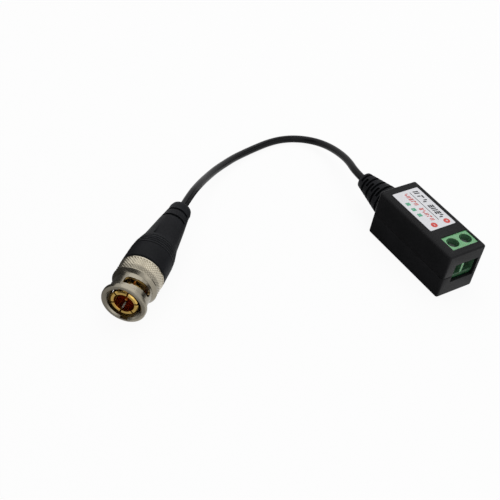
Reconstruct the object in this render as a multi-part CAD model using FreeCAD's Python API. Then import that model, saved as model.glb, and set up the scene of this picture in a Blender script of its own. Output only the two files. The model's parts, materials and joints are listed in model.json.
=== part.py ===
import FreeCAD, Part
import os
from math import cos, pi, radians, sin, sqrt, tan
from FreeCAD import Placement, Rotation, Vector

# Driving sizes, in millimetres and degrees
# The origin is the middle of the case's underside; +X points out of the wire entries

# Case
case_length = 32.4
case_width = 14.2
case_height = 15.8
case_wall = 1.0
split_height = 7.4           # height of the parting line
base_edge_radius = 0.75
top_edge_radius = 0.7
corner_radius = 0.8
lip_height = 0.9             # tongue of the base inside the cover
lip_thickness = 0.5
lip_clearance = 0.05
seam_chamfer = 0.15
pry_notch_width = 1.0
pry_notch_depth = 0.35
pry_notch_inset = 1.5

# Label
label_length = 17.9
label_width = 10.0
label_thickness = 0.12
label_corner = 0.4
label_centre_x = -4.3
label_centre_y = 0.2

# Terminal block
pole_count = 2
pole_pitch = 5.0
block_depth = 6.9
block_height = 10.0
block_front_gap = 0.1        # between the block's face and the case wall
block_recess = 0.3           # top of the block below the top of the case
block_side_gap = 0.1         # between the block and the case's wall on the plus side
block_top_depth = 5.6
block_step_drop = 0.9
block_slope_drop = 1.4
entry_width = 4.12
entry_height = 4.2
entry_floor = 1.2            # thickness of the sill under each entry
chamber_roof = 0.7
driver_hole_radius = 1.95
opening_clearance = 0.05
window_width = 9.0
window_low = 5.1
window_high = 11.6

# Terminal screws, cages and contacts
screw_to_block_rear = 2.7
screw_radius = 1.2
screw_head_radius = 1.75
screw_head_height = 1.4
screw_slot_width = 0.55
screw_slot_depth = 0.7
screw_head_chamfer = 0.15
screw_tip_gap = 0.05         # between the screw's end and the contact bar
screw_thread_clearance = 0.05
roof_hole_clearance = 0.1
cage_length = 2.8
cage_side = 0.5
cage_floor = 0.7
cage_top = 0.8
cage_board_gap = 0.1
cage_clearance = 0.08
cage_travel = 1.8
bar_thickness = 0.6
bar_width = 2.2
bar_gap = 0.08
leg_thickness = 0.45
leg_gap = 0.08
pin_width = 0.9
pin_drop = 1.4               # length of each pin below the board
pin_clearance = 0.05

# Circuit board and what it carries
board_thickness = 1.2
board_side_gap = 0.2
board_front_gap = 0.2
board_rear_gap = 0.3
post_size = 1.8
core_outer_radius = 4.0
core_inner_radius = 2.2
core_height = 3.4
core_x = -2.6
winding_turns = 10
winding_arc = 300.0
winding_wire = 0.4
winding_clearance = 0.03     # between the wire and the sides of the ring
core_chamfer = 0.2
capacitor_size = (3.2, 1.6, 0.9)
capacitor_place = (4.6, -2.6)
resistor_size = (2.0, 1.25, 0.55)
resistor_place = (4.4, 2.6)

# Strain relief
relief_length = 14.2
relief_base_radius = 5.5
relief_tail_radius = 2.65
relief_neck_radius = 3.9
relief_neck_clearance = 0.05
relief_flange_radius = 5.2
relief_flange_thickness = 1.2
relief_slot_first = 2.2
relief_slot_pitch = 1.45
relief_slot_count = 8        # cut in pairs, by turns at the two sides and above and below
relief_slot_width = 0.95
relief_slot_depth = 0.9
relief_slot_arc = 125.0
relief_tail_round = 0.6

# Cable
cable_diameter = 2.4
cable_relief_run = 6.5       # straight out of the strain relief
cable_boot_run = 6.6         # straight out of the boot
cable_route = [(-46.9, 4.5, 6.5), (-54.1, 5.2, 4.2), (-60.8, 2.1, 2.2), (-65.3, -4.0, 1.4),
               (-66.2, -11.6, 1.3), (-63.4, -18.7, 1.3), (-61.1, -27.6, 1.8), (-55.2, -41.8, 3.5),
               (-48.8, -48.0, 5.4)]

# Leads inside the case, as places ahead of the strain relief and to the side
core_lead_diameter = 1.3
core_lead_route = [(0.0, 0.0), (3.6, 0.0)]
braid_lead_diameter = 0.9
braid_lead_route = [(0.0, -1.6), (2.8, -1.6)]

# Plug, measured along its axis from the front face of the coupling sleeve
plug_front = (-13.4, -94.5)
plug_heading = 128.3         # direction from the plug's front to its tail
plug_tilt = 3.3              # the cable holds the tail up, and the flange rests on the floor
sleeve_length = 12.5
sleeve_bore_radius = 4.9
sleeve_mouth_radius = 5.3
sleeve_mouth_depth = 0.4
flange_radius = 6.4
flange_thickness = 1.4
flange_front_round = 0.45
edge_break = 0.25
neck_fillet = 0.2
neck_radius = 5.6
neck_end = 6.6
shoulder_radius = 5.95       # outside of the shoulder's upright face
shoulder_bevel = 0.55
knurl_radius = 6.5
knurl_lip = 0.3
knurl_columns = 44
knurl_rows = 5
knurl_height = 0.18
knurl_root = 0.5             # ring of metal under the knurl
rear_lip_thickness = 1.2
rear_bore_clearance = 0.08
stud_slot_width = 2.2
stud_channel_radius = 5.45
slot_entry_angle = -5.0      # from straight up, towards the plug's right side
slot_entry_place = 3.95
slot_end_place = 4.6
slot_sweep = 69.0
slot_steps = 6
channel_cover = 1.2          # wall left behind the flange before the slot breaks through

finger_recess = 0.5
finger_outer_radius = 4.0
finger_inner_radius = 2.9
finger_count = 6
finger_slit_width = 0.45
finger_slit_length = 5.2
finger_slit_angle = 13.0     # of the first slit, from straight up
finger_tip_chamfer = 0.3
finger_bore_chamfer = 0.1
finger_seat = 1.6            # length held in the body

body_front = 7.0
body_bore_clearance = 0.06
body_tube_radius = 4.2
body_stem_radius = 2.2
body_stem_length = 5.0
body_stem_bore = 1.3
gasket_thickness = 1.0
gasket_clearance = 0.1
gasket_chamfer = 0.2
insulator_front = 6.4
pin_radius = 0.675
pin_recess = 1.9
pin_tip_length = 0.7
pin_tip_share = 0.45         # radius of the pin's blunt end as a share of its radius
pin_shank_radius = 1.0
pin_tail = 1.5
insulator_length = 5.6

thrust_washer_thickness = 0.6
washer_bore_clearance = 0.08
washer_rim_clearance = 0.1
wave_height = 1.0
wave_thickness = 0.25
wave_count = 3
wave_steps = 24
sleeve_travel = 0.6          # how far the sleeve can be pulled forward
wave_front_gap = 0.3         # left in front of the wave washer at the end of that travel
ring_gap = 0.03
ring_thickness = 0.8
ring_radius = 4.95

ferrule_thickness = 0.5
ferrule_gap = 0.4
ferrule_length = 5.6

boot_front_gap = 0.25
boot_end = 41.8
boot_front_radius = 6.5
boot_front_chamfer = 0.3
boot_pocket_clearance = 0.15
boot_tail_radius = 3.3
boot_profile = [(18.6, 6.4), (21.2, 6.1), (25.2, 5.15), (33.0, 4.15), (38.8, boot_tail_radius)]
boot_tail_round = 1.7
rib_count = 5
rib_pitch = 0.85
rib_depth = 0.2
rib_start = 18.7
tail_groove_places = (34.0, 37.3)
tail_groove_width = 0.9
tail_groove_depth = 0.55
tail_groove_arc = 130.0
grip_start = 23.6
grip_end = 31.2
grip_depth = 0.9
grip_width = 3.4

# Places worked out from the driving sizes
half_length = case_length / 2
half_width = case_width / 2
inner_half_width = half_width - case_wall
wall_inner_x = half_length - case_wall
block_front_x = wall_inner_x - block_front_gap
block_rear_x = block_front_x - block_depth
block_top_z = case_height - block_recess
board_top_z = block_top_z - block_height
board_bottom_z = board_top_z - board_thickness
block_half_width = pole_count * pole_pitch / 2
block_offset_y = inner_half_width - block_side_gap - block_half_width
pole_y = [block_offset_y + (i - (pole_count - 1) / 2) * pole_pitch for i in range(pole_count)]
pole_names = ("minus", "plus")
screw_x = block_rear_x + screw_to_block_rear
entry_low_z = board_top_z + entry_floor
entry_high_z = entry_low_z + entry_height
cage_low_z = board_top_z + cage_board_gap
bar_low_z = cage_low_z + cage_travel + cage_floor + bar_gap
bar_high_z = bar_low_z + bar_thickness
cage_inner_height = bar_high_z + bar_gap - cage_low_z - cage_floor
cage_height = cage_floor + cage_inner_height + cage_top
chamber_top_z = cage_low_z + cage_height + cage_travel + cage_clearance
head_seat_z = chamber_top_z + chamber_roof
cage_rear_x = screw_x - cage_length / 2
cage_front_x = cage_rear_x + cage_length
leg_front_x = cage_rear_x - leg_gap
leg_rear_x = leg_front_x - leg_thickness
relief_axis_height = case_height / 2
relief_flange_x = -wall_inner_x + relief_flange_thickness
tail_x = -half_length - relief_length
thrust_end = sleeve_length - rear_lip_thickness
wave_end = thrust_end - thrust_washer_thickness
body_shoulder_end = wave_end - wave_height - sleeve_travel - wave_front_gap
body_tube_end = sleeve_length + ring_gap + ring_thickness
insulator_end = insulator_front + insulator_length
knurl_front = neck_end + edge_break + shoulder_bevel + knurl_lip
knurl_rear = sleeve_length - edge_break - knurl_lip
plug_height = flange_radius * cos(radians(plug_tilt)) - flange_front_round * sin(radians(plug_tilt))
ferrule_inner_radius = body_stem_radius + ferrule_gap
ferrule_outer_radius = ferrule_inner_radius + ferrule_thickness

past = 1.0                   # how far a cutting shape runs past the face that it opens
tiny = 0.01                  # overlap of pieces that are joined into one


def box(low, high):
    """A block from its low corner to its high corner."""
    size = [b - a for a, b in zip(low, high)]
    return Part.makeBox(*size, Vector(*low))


def cylinder(radius, start, end):
    """A cylinder between two points on its axis."""
    a, b = Vector(*start), Vector(*end)
    return Part.makeCylinder(radius, (b - a).Length, a, b - a)


def revolved(outline):
    """Turn an outline of (place, radius) points about the X axis."""
    points = [Vector(x, 0, r) for x, r in outline]
    face = Part.Face(Part.makePolygon(points + points[:1]))
    return face.revolve(Vector(0, 0, 0), Vector(1, 0, 0), 360)


def prism(outline, y_low, y_high):
    """Push an outline of (x, z) points along Y."""
    points = [Vector(x, y_low, z) for x, z in outline]
    face = Part.Face(Part.makePolygon(points + points[:1]))
    return face.extrude(Vector(0, y_high - y_low, 0))


def edges_where(shape, test):
    """The straight edges whose middle point and direction pass a test."""
    found = []
    for edge in shape.Edges:
        if edge.Length < 1e-6:
            continue
        a, b = edge.Vertexes[0].Point, edge.Vertexes[-1].Point
        if (b - a).Length > 1e-6 and test((a + b) * 0.5, (b - a).normalize()):
            found.append(edge)
    return found


def rounded_box(low, high, upright_radius):
    """A block with its upright edges rounded."""
    block = box(low, high)
    return block.makeFillet(upright_radius, edges_where(block, lambda m, d: abs(d.z) > 0.9))


def tube(points, diameter, name):
    """A round tube along straight runs joined by tangent arcs."""
    route = [Vector(*p) for p in points]
    edges, start, radii = [], route[0], []
    for before, corner, after in zip(route, route[1:], route[2:]):
        back = (before - corner).normalize()
        ahead = (after - corner).normalize()
        turn = pi - back.getAngle(ahead)
        reach = 0.45 * min((before - corner).Length, (after - corner).Length)
        radii.append(reach / tan(turn / 2))
        first, last = corner + back * reach, corner + ahead * reach
        bisector = (back + ahead).normalize()
        centre_distance = radii[-1] / cos(turn / 2)
        middle = corner + bisector * (centre_distance - radii[-1])
        edges.append(Part.LineSegment(start, first).toShape())
        edges.append(Part.Arc(first, middle, last).toShape())
        start = last
    edges.append(Part.LineSegment(start, route[-1]).toShape())
    path = Part.Wire(edges)
    ring = Part.Wire(Part.Circle(route[0], (route[1] - route[0]).normalize(), diameter / 2).toShape())
    solid = path.makePipeShell([ring], True, True)
    true_volume = pi * diameter ** 2 / 4 * path.Length
    print(name, "length", round(path.Length, 1), "bend radii", [round(r, 1) for r in radii],
          "volume ratio", round(solid.Volume / true_volume, 4))
    return solid


# Case

def shell_block(low_z, high_z, round_low, round_high):
    """The outside of one half of the case."""
    block = rounded_box((-half_length, -half_width, low_z), (half_length, half_width, high_z),
                        corner_radius)
    if round_low:
        block = block.makeFillet(round_low, edges_where(block, lambda m, d: abs(m.z - low_z) < 1e-6))
    if round_high:
        block = block.makeFillet(round_high, edges_where(block, lambda m, d: abs(m.z - high_z) < 1e-6))
    return block


def lip_ring(grow):
    """The tongue that locates one half in the other."""
    outer_x = half_length - case_wall + lip_thickness + grow
    outer_y = half_width - case_wall + lip_thickness + grow
    outer = box((-outer_x, -outer_y, split_height), (outer_x, outer_y, split_height + lip_height + grow))
    inner = box((-wall_inner_x, -inner_half_width, split_height - past),
                (wall_inner_x, inner_half_width, split_height + lip_height + grow + past))
    return outer.cut(inner)


def wall_openings():
    """What is cut through both halves: the wire window and the hole for the strain relief."""
    window_y = block_offset_y
    window = box((wall_inner_x - past, window_y - window_width / 2, window_low),
                 (half_length + past, window_y + window_width / 2, window_high))
    hole = cylinder(relief_neck_radius + relief_neck_clearance,
                    (-half_length - past, 0, relief_axis_height),
                    (-wall_inner_x + past, 0, relief_axis_height))
    return [window, hole]


def seam_bevel():
    """A thin frame that takes the outer edge off at the parting line."""
    frame = box((-half_length - past, -half_width - past, split_height - seam_chamfer),
                (half_length + past, half_width + past, split_height + seam_chamfer))
    core = box((-half_length + seam_chamfer, -half_width + seam_chamfer, split_height - past),
               (half_length - seam_chamfer, half_width - seam_chamfer, split_height + past))
    return frame.cut(core)


def case_base():
    shell = shell_block(0, split_height, base_edge_radius, 0)
    shell = shell.cut(box((-wall_inner_x, -inner_half_width, case_wall),
                          (wall_inner_x, inner_half_width, split_height + past)))
    shell = shell.cut(seam_bevel()).fuse(lip_ring(0))
    for x in (-wall_inner_x, wall_inner_x - post_size):
        for y in (-inner_half_width, inner_half_width - post_size):
            shell = shell.fuse(box((x, y, case_wall - tiny),
                                   (x + post_size, y + post_size, board_bottom_z)))
    for side in (-1, 1):
        notch_x = half_length - pry_notch_inset
        shell = shell.cut(box((notch_x - pry_notch_width / 2, side * half_width - pry_notch_depth,
                               split_height - pry_notch_depth),
                              (notch_x + pry_notch_width / 2, side * half_width + pry_notch_depth,
                               split_height + past)))
    for opening in wall_openings():
        shell = shell.cut(opening)
    return shell.removeSplitter()


def case_top():
    shell = shell_block(split_height, case_height, 0, top_edge_radius)
    shell = shell.cut(box((-wall_inner_x, -inner_half_width, split_height - past),
                          (wall_inner_x, inner_half_width, case_height - case_wall)))
    shell = shell.cut(seam_bevel()).cut(lip_ring(lip_clearance))
    shell = shell.cut(box((block_rear_x - opening_clearance,
                           block_offset_y - block_half_width - opening_clearance, split_height),
                          (block_rear_x + block_top_depth + opening_clearance,
                           block_offset_y + block_half_width + opening_clearance, case_height + past)))
    for opening in wall_openings():
        shell = shell.cut(opening)
    return shell.removeSplitter()


def polarity_label():
    low = (label_centre_x - label_length / 2, label_centre_y - label_width / 2, case_height)
    high = (low[0] + label_length, low[1] + label_width, case_height + label_thickness)
    return rounded_box(low, high, label_corner)


# Terminal block

def terminal_housing():
    top_front_x = block_rear_x + block_top_depth
    outline = [(block_rear_x, board_top_z), (block_front_x, board_top_z),
               (block_front_x, block_top_z - block_step_drop - block_slope_drop),
               (top_front_x, block_top_z - block_step_drop), (top_front_x, block_top_z),
               (block_rear_x, block_top_z)]
    y_low, y_high = block_offset_y - block_half_width, block_offset_y + block_half_width
    block = prism(outline, y_low, y_high)
    for y in pole_y:
        half = entry_width / 2
        block = block.cut(box((leg_rear_x - leg_gap, y - half, board_top_z - past),
                              (cage_front_x + cage_clearance, y + half, chamber_top_z)))
        block = block.cut(box((cage_front_x, y - half, entry_low_z),
                              (block_front_x + past, y + half, entry_high_z)))
        hole = cylinder(driver_hole_radius, (screw_x, y, head_seat_z), (screw_x, y, block_top_z + past))
        shaft = cylinder(screw_radius + roof_hole_clearance, (screw_x, y, chamber_top_z - past),
                         (screw_x, y, head_seat_z + past))
        block = block.cut(hole.fuse(shaft))
    return block.removeSplitter()


def terminal_screw(y):
    head = cylinder(screw_head_radius, (screw_x, y, head_seat_z),
                    (screw_x, y, head_seat_z + screw_head_height))
    head = head.makeChamfer(screw_head_chamfer, [e for e in head.Edges if e.BoundBox.ZLength < 1e-6
                                                 and e.BoundBox.ZMin > head_seat_z + screw_head_chamfer])
    slot = box((screw_x - screw_head_radius - past, y - screw_slot_width / 2,
                head_seat_z + screw_head_height - screw_slot_depth),
               (screw_x + screw_head_radius + past, y + screw_slot_width / 2,
                head_seat_z + screw_head_height + past))
    shaft = cylinder(screw_radius, (screw_x, y, bar_high_z + screw_tip_gap), (screw_x, y, head_seat_z))
    return head.cut(slot).fuse(shaft).removeSplitter()


def wire_clamp(y):
    """The cage that the screw lifts, open to the front and back."""
    half = entry_width / 2 - cage_clearance
    low = (cage_rear_x, y - half, cage_low_z)
    high = (cage_front_x, y + half, cage_low_z + cage_height)
    cage = box(low, high)
    cage = cage.cut(box((low[0] - past, low[1] + cage_side, low[2] + cage_floor),
                        (high[0] + past, high[1] - cage_side, high[2] - cage_top)))
    return cage.cut(cylinder(screw_radius + screw_thread_clearance,
                             (screw_x, y, high[2] - cage_top - bar_gap), (screw_x, y, high[2] + past)))


def contact_pin(y):
    """The bar over the wire, bent down into a leg and a pin through the board."""
    bar = box((leg_rear_x, y - bar_width / 2, bar_low_z), (cage_front_x, y + bar_width / 2, bar_high_z))
    leg = box((leg_rear_x, y - bar_width / 2, board_top_z),
              (leg_front_x, y + bar_width / 2, bar_low_z + tiny))
    pin = box((leg_rear_x, y - pin_width / 2, board_bottom_z - pin_drop),
              (leg_front_x, y + pin_width / 2, board_top_z + tiny))
    return bar.fuse([leg, pin]).removeSplitter()


# Circuit board and what it carries

def circuit_board():
    low_x = relief_flange_x + board_rear_gap
    half_y = inner_half_width - board_side_gap
    board = box((low_x, -half_y, board_bottom_z), (wall_inner_x - board_front_gap, half_y, board_top_z))
    for y in pole_y:
        gap = pin_clearance
        board = board.cut(box((leg_rear_x - gap, y - pin_width / 2 - gap, board_bottom_z - past),
                              (leg_front_x + gap, y + pin_width / 2 + gap, board_top_z + past)))
    return board


def ring_section():
    """Inner radius, outer radius, low and high of the space that each turn of wire wraps."""
    low = board_top_z + winding_wire
    return core_inner_radius, core_outer_radius, low, low + core_height


def balun_core():
    inner, outer, low, high = ring_section()
    core = cylinder(outer, (core_x, 0, low), (core_x, 0, high)).cut(
        cylinder(inner, (core_x, 0, low - past), (core_x, 0, high + past)))
    rims = [e for e in core.Edges if e.BoundBox.ZLength < 1e-6]
    return core.makeChamfer(core_chamfer, rims)


def balun_winding():
    inner, outer, low, high = ring_section()
    turns = []
    for i in range(winding_turns):
        angle = -winding_arc / 2 + winding_arc * i / (winding_turns - 1)
        half = winding_wire / 2
        turn = box((inner - winding_wire, -half, low - winding_wire),
                   (outer + winding_wire, half, high + winding_wire))
        turn = turn.cut(box((inner - winding_clearance, -half - past, low),
                            (outer + winding_clearance, half + past, high)))
        turn.Placement = Placement(Vector(core_x, 0, 0), Rotation(Vector(0, 0, 1), angle))
        turns.append(turn)
    return Part.makeCompound(turns)


def chip(size, place):
    """A surface-mounted part on the board."""
    length, width, height = size
    low = (place[0] - length / 2, place[1] - width / 2, board_top_z)
    return box(low, (low[0] + length, low[1] + width, low[2] + height))


# Cable inside the case

def lead(route, diameter):
    """A wire out of the strain relief's inner face, bent sharply down onto the board."""
    points = [Vector(relief_flange_x + ahead, side, relief_axis_height) for ahead, side in route]
    path = Part.makePolygon(points + [Vector(points[-1].x, points[-1].y, board_top_z)])
    ring = Part.Wire(Part.Circle(points[0], points[1] - points[0], diameter / 2).toShape())
    mitred = 1
    return path.makePipeShell([ring], True, False, mitred)


def around(shape, angle):
    """Turn a cutting shape about the X axis, from straight up towards the right side."""
    turned = shape.copy()
    turned.rotate(Vector(0, 0, 0), Vector(1, 0, 0), angle)
    return turned


def opposed_slots(shape, place, width, inner, outer, arc, middle):
    """Cut two slots into a turned shape, each round part of its circle and opposite the other."""
    points = [Vector(place - width / 2, 0, inner), Vector(place - width / 2, 0, outer),
              Vector(place + width / 2, 0, outer), Vector(place + width / 2, 0, inner)]
    sector = Part.Face(Part.makePolygon(points + points[:1])).revolve(
        Vector(0, 0, 0), Vector(1, 0, 0), arc)
    for angle in (middle, middle + 180):
        shape = shape.cut(around(sector, angle - arc / 2))
    return shape


# Strain relief, turned about the cable and then slotted so that it can bend every way

def strain_relief():
    wall_out, wall_in = -half_length, -wall_inner_x
    slope = (relief_base_radius - relief_tail_radius) / relief_length
    relief = revolved([(relief_flange_x, 0), (relief_flange_x, relief_flange_radius),
                       (wall_in, relief_flange_radius), (wall_in, relief_neck_radius),
                       (wall_out, relief_neck_radius), (wall_out, relief_base_radius),
                       (tail_x + relief_tail_round, relief_tail_radius + slope * relief_tail_round),
                       (tail_x, relief_tail_radius - relief_tail_round), (tail_x, 0)])
    for i in range(relief_slot_count):
        place = relief_slot_first + i * relief_slot_pitch
        floor = relief_base_radius - slope * place - relief_slot_depth
        relief = opposed_slots(relief, wall_out - place, relief_slot_width, floor, relief_base_radius,
                               relief_slot_arc, 90 * ((i + 1) % 2))
    relief.translate(Vector(0, 0, relief_axis_height))
    return relief


# Plug, made along X from its front face and then laid down in its place

def plug_place():
    """Where the plug's front face lies, and how its axis is turned."""
    turn = Rotation(Vector(0, 0, 1), plug_heading).multiply(Rotation(Vector(0, 1, 0), -plug_tilt))
    return Placement(Vector(plug_front[0], plug_front[1], plug_height), turn)


def laid_down(shape):
    """Move a piece of the plug from its own axis to where it lies."""
    moved = shape.copy()
    moved.Placement = plug_place().multiply(moved.Placement)
    return moved


def stud_slot(entry_angle):
    """One bayonet slot: a channel under the flange, then a rising track through the neck's wall."""
    half = stud_slot_width / 2
    break_through = flange_thickness + channel_cover
    channel = box((-past, -half, 0), (slot_entry_place, half, stud_channel_radius))
    mouth = box((break_through, -half, 0), (slot_entry_place, half, knurl_radius))
    cutter = around(channel.fuse(mouth), entry_angle)
    places = []
    for i in range(slot_steps + 1):
        share = i / slot_steps
        eased = share * share * (3 - 2 * share)
        places.append((entry_angle + slot_sweep * share,
                       slot_entry_place + (slot_end_place - slot_entry_place) * eased))
    for (angle, place), (next_angle, next_place) in zip(places, places[1:]):
        drill = around(cylinder(half, (place, 0, 0), (place, 0, knurl_radius)), angle)
        step = neck_radius * radians(next_angle - angle)
        track = Part.makeBox(stud_slot_width, sqrt(step ** 2 + (next_place - place) ** 2), knurl_radius,
                             Vector(-half, -step / 2, 0))
        track = around(track, (angle + next_angle) / 2)
        track.translate(Vector((place + next_place) / 2, 0, 0))
        cutter = cutter.fuse([drill, track])
    end_angle, end_place = places[-1]
    return cutter.fuse(around(cylinder(half, (end_place, 0, 0), (end_place, 0, knurl_radius)), end_angle))


def knurled_band():
    """A ring whose outside is a lattice of peaks and pits by turns, parted by crossing grooves."""
    around_steps, along_steps = 2 * knurl_columns, 2 * knurl_rows

    def corner(i, j):
        radius = knurl_radius - knurl_height * ((i + j) % 2)
        angle = 2 * pi * (i % around_steps) / around_steps
        return Vector(knurl_front + (knurl_rear - knurl_front) * j / along_steps,
                      radius * sin(angle), radius * cos(angle))

    flats = [[corner(i, j) for i in range(around_steps)] for j in (0, along_steps)]
    for i in range(around_steps):
        for j in range(along_steps):
            a, b, c, d = corner(i, j), corner(i + 1, j), corner(i + 1, j + 1), corner(i, j + 1)
            flats += [[a, b, c], [a, c, d]] if (i + j) % 2 else [[a, b, d], [b, c, d]]
    faces = [Part.Face(Part.makePolygon(corners + corners[:1])) for corners in flats]
    solid = Part.Solid(Part.Shell(faces))
    if solid.Volume < 0:
        solid.reverse()
    root = knurl_radius - knurl_root
    return solid.cut(cylinder(root - tiny, (knurl_front - past, 0, 0), (knurl_rear + past, 0, 0)))


def coupling_sleeve():
    rear = sleeve_length
    root = knurl_radius - knurl_root
    bevel_front = neck_end + edge_break
    lip_bore = body_tube_radius + rear_bore_clearance
    rounding, flange_end = flange_front_round, flange_thickness
    outline = [(sleeve_mouth_depth, sleeve_bore_radius), (0, sleeve_mouth_radius),
               (0, flange_radius - rounding), (rounding * 0.3, flange_radius - rounding * 0.3),
               (rounding, flange_radius), (flange_end - edge_break, flange_radius),
               (flange_end, flange_radius - edge_break), (flange_end, neck_radius + neck_fillet),
               (flange_end + neck_fillet, neck_radius), (neck_end, neck_radius),
               (bevel_front, shoulder_radius), (bevel_front + shoulder_bevel, knurl_radius),
               (knurl_front, knurl_radius), (knurl_front, root), (knurl_rear, root),
               (knurl_rear, knurl_radius), (rear - edge_break, knurl_radius),
               (rear, knurl_radius - edge_break),
               (rear, lip_bore), (rear - rear_lip_thickness, lip_bore),
               (rear - rear_lip_thickness, sleeve_bore_radius)]
    sleeve = revolved(outline)
    bore = cylinder(sleeve_bore_radius - tiny, (-past, 0, 0), (rear - rear_lip_thickness - tiny, 0, 0))
    for entry in (slot_entry_angle, slot_entry_angle + 180):
        sleeve = sleeve.cut(stud_slot(entry).cut(bore))
    return sleeve.fuse(knurled_band())


def contact_fingers():
    tip, seat_end = finger_recess, body_front + finger_seat
    outline = [(tip, finger_inner_radius + finger_bore_chamfer),
               (tip, finger_outer_radius - finger_tip_chamfer),
               (tip + finger_tip_chamfer, finger_outer_radius), (seat_end, finger_outer_radius),
               (seat_end, finger_inner_radius), (tip + finger_bore_chamfer, finger_inner_radius)]
    ring = revolved(outline)
    half = finger_slit_width / 2
    for i in range(finger_count):
        slit = box((0, -half, finger_inner_radius - past),
                   (tip + finger_slit_length, half, finger_outer_radius + past))
        ring = ring.cut(around(slit, finger_slit_angle + i * 360 / finger_count))
    return ring


def plug_body():
    """The turned body: a socket for the fingers, a shoulder, a tube and a stem for the braid."""
    shoulder = sleeve_bore_radius - body_bore_clearance
    seat_end = body_front + finger_seat
    stem_end = body_tube_end + body_stem_length
    outline = [(body_front, finger_outer_radius), (body_front, shoulder), (body_shoulder_end, shoulder),
               (body_shoulder_end, body_tube_radius), (body_tube_end, body_tube_radius),
               (body_tube_end, body_stem_radius), (stem_end, body_stem_radius), (stem_end, body_stem_bore),
               (insulator_end, body_stem_bore), (insulator_end, finger_inner_radius),
               (seat_end, finger_inner_radius), (seat_end, finger_outer_radius)]
    return revolved(outline)


def sealing_gasket():
    front, rear = body_front - gasket_thickness, body_front
    outer = sleeve_bore_radius - gasket_clearance
    return revolved([(front, finger_outer_radius), (front, outer - gasket_chamfer),
                     (front + gasket_chamfer, outer), (rear, outer), (rear, finger_outer_radius)])


def plug_insulator():
    return revolved([(insulator_front, pin_shank_radius), (insulator_front, finger_inner_radius),
                     (insulator_end, finger_inner_radius), (insulator_end, pin_shank_radius)])


def centre_pin():
    end = insulator_end + pin_tail
    return revolved([(pin_recess, 0), (pin_recess, pin_radius * pin_tip_share),
                     (pin_recess + pin_tip_length, pin_radius), (insulator_front, pin_radius),
                     (insulator_front, pin_shank_radius), (end, pin_shank_radius), (end, 0)])


def thrust_washer():
    inner = body_tube_radius + washer_bore_clearance
    outer = sleeve_bore_radius - washer_rim_clearance
    return revolved([(wave_end, inner), (wave_end, outer), (thrust_end, outer), (thrust_end, inner)])


def wave_washer():
    """A thin ring whose face rises and falls round its circle."""
    inner = body_tube_radius + washer_bore_clearance
    outer = sleeve_bore_radius - washer_rim_clearance
    swing = (wave_height - wave_thickness) / 2
    middle = wave_end - wave_height / 2
    sections = []
    for i in range(wave_steps):
        angle = 2 * pi * i / wave_steps
        place = middle + swing * cos(wave_count * angle)
        corners = [(place - wave_thickness / 2, inner), (place - wave_thickness / 2, outer),
                   (place + wave_thickness / 2, outer), (place + wave_thickness / 2, inner)]
        points = [Vector(x, r * sin(angle), r * cos(angle)) for x, r in corners]
        sections.append(points)
    faces = []
    for first, second in zip(sections, sections[1:] + sections[:1]):
        for k in range(4):
            a, b = first[k], first[(k + 1) % 4]
            c, d = second[(k + 1) % 4], second[k]
            faces.append(Part.Face(Part.makePolygon([a, b, c, a])))
            faces.append(Part.Face(Part.makePolygon([a, c, d, a])))
    shell = Part.Shell(faces)
    solid = Part.Solid(shell)
    if solid.Volume < 0:
        solid.reverse()
    return solid


def retaining_ring():
    front, end = sleeve_length + ring_gap, body_tube_end
    return revolved([(front, body_tube_radius), (front, ring_radius), (end, ring_radius),
                     (end, body_tube_radius)])


def crimp_ferrule():
    start, end = body_tube_end, body_tube_end + ferrule_length
    return revolved([(start, ferrule_inner_radius), (start, ferrule_outer_radius),
                     (end, ferrule_outer_radius), (end, ferrule_inner_radius)])


def cable_braid():
    """The braid folded over the stem, under the ferrule."""
    start, end = body_tube_end, body_tube_end + body_stem_length
    return revolved([(start, body_stem_radius), (start, ferrule_inner_radius),
                     (end, ferrule_inner_radius), (end, body_stem_radius)])


def boot_radius(place):
    """The boot's outline before its grooves: a collar, a short cone and a long taper."""
    marks = [(sleeve_length, boot_front_radius)] + boot_profile + [(boot_end, boot_tail_radius)]
    for (x0, r0), (x1, r1) in zip(marks, marks[1:]):
        if place <= x1:
            return r0 + (r1 - r0) * (place - x0) / (x1 - x0)
    return boot_tail_radius


def plug_boot():
    front = sleeve_length + boot_front_gap
    ferrule_end = body_tube_end + ferrule_length
    pocket = ring_radius + boot_pocket_clearance
    outline = [(ferrule_end, 0), (ferrule_end, ferrule_outer_radius), (body_tube_end, ferrule_outer_radius),
               (body_tube_end, pocket), (front, pocket), (front, boot_front_radius - boot_front_chamfer),
               (front + boot_front_chamfer, boot_front_radius)]
    for i in range(rib_count):
        start, groove = rib_start + i * rib_pitch, rib_pitch / 2
        outline.append((start, boot_radius(start)))
        outline.append((start + groove / 2, boot_radius(start + groove / 2) - rib_depth))
        outline.append((start + groove, boot_radius(start + groove)))
    ribs_end = rib_start + rib_count * rib_pitch
    outline += [mark for mark in boot_profile if mark[0] > ribs_end]
    for angle in (0, 30, 60, 90):
        turn = radians(angle)
        outline.append((boot_end - boot_tail_round * (1 - sin(turn)),
                        boot_tail_radius - boot_tail_round * (1 - cos(turn))))
    outline.append((boot_end, 0))
    boot = revolved(outline)
    for place in tail_groove_places:
        boot = opposed_slots(boot, place, tail_groove_width, boot_radius(place) - tail_groove_depth,
                             boot_front_radius, tail_groove_arc, 0)
    deep, shallow = boot_radius(grip_start) - grip_depth, boot_radius(grip_end)
    wedge = prism([(grip_start, deep), (grip_end, shallow), (grip_end, boot_front_radius),
                   (grip_start, boot_front_radius)], -grip_width / 2, grip_width / 2)
    for side in (0, 180):
        boot = boot.cut(around(wedge, side))
    return boot.removeSplitter()


# Cable, from the tail of the strain relief along the surface to the tail of the boot

def plug_point(place):
    """A point on the plug's axis line, beyond its tail too."""
    return tuple(plug_place().multVec(Vector(place, 0, 0)))


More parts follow.
